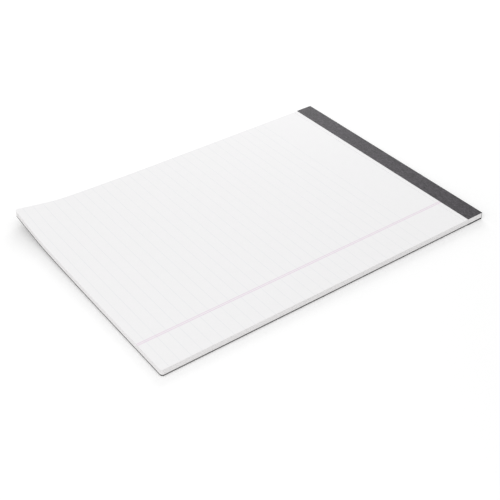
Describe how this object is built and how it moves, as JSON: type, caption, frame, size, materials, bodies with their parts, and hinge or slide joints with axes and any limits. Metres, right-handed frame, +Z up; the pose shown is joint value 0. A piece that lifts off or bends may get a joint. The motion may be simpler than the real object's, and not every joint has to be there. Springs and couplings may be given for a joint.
{
  "type": "legal pad",
  "caption": "Ruled white writing pad on a grey chipboard, bound at the head by a dark grey folded strip over wire staples, one foot corner curled up.",
  "frame": {"origin": "middle of the footprint, on the surface that the pad lies on", "axes": "+Z up out of the ruled face, +Y along the long side towards the bound head, +X to the margin line's side"},
  "size_m": [0.216, 0.2988, 0.0128],
  "materials": {
    "white_paper": "smooth uncoated",
    "grey_chipboard": "matte, flecked",
    "grey_strip": "satin, fine grain",
    "staple_wire": "drawn wire"
  },
  "bodies": {
    "root": {"sheet_block": "white_paper", "backing_board": "grey_chipboard", "binding_strip": "grey_strip", "staple_left": "staple_wire", "staple_middle": "staple_wire", "staple_right": "staple_wire"}
  },
  "joints": []
}
